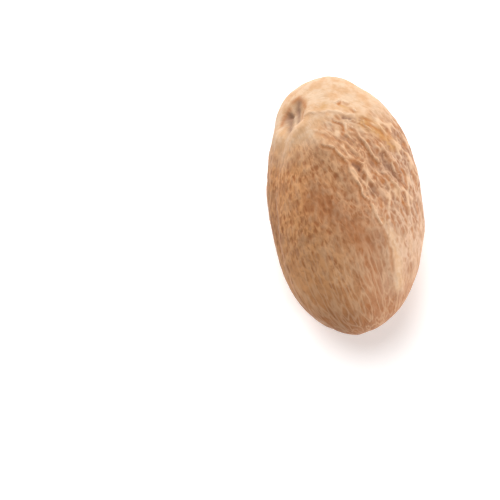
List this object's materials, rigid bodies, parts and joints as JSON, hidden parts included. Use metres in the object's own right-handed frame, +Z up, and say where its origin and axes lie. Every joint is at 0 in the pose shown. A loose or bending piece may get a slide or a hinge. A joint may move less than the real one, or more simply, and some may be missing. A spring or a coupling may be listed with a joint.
{
  "type": "whole nutmeg",
  "caption": "Dried egg-shaped nutmeg seed lying on its side, with a round scar near its end, a shallow groove along its flank and a wrinkled skin.",
  "frame": {"origin": "centre of the bounding box's underside, on the surface that the seed lies on", "axes": "+Y along the seed towards the end with the scar, +Z up, +X across the seed"},
  "size_m": [0.0166, 0.0284, 0.0165],
  "materials": {
    "nutmeg_skin": "dry, matt, wrinkled skin"
  },
  "bodies": {
    "root": {"nutmeg_seed": "nutmeg_skin"}
  },
  "joints": []
}
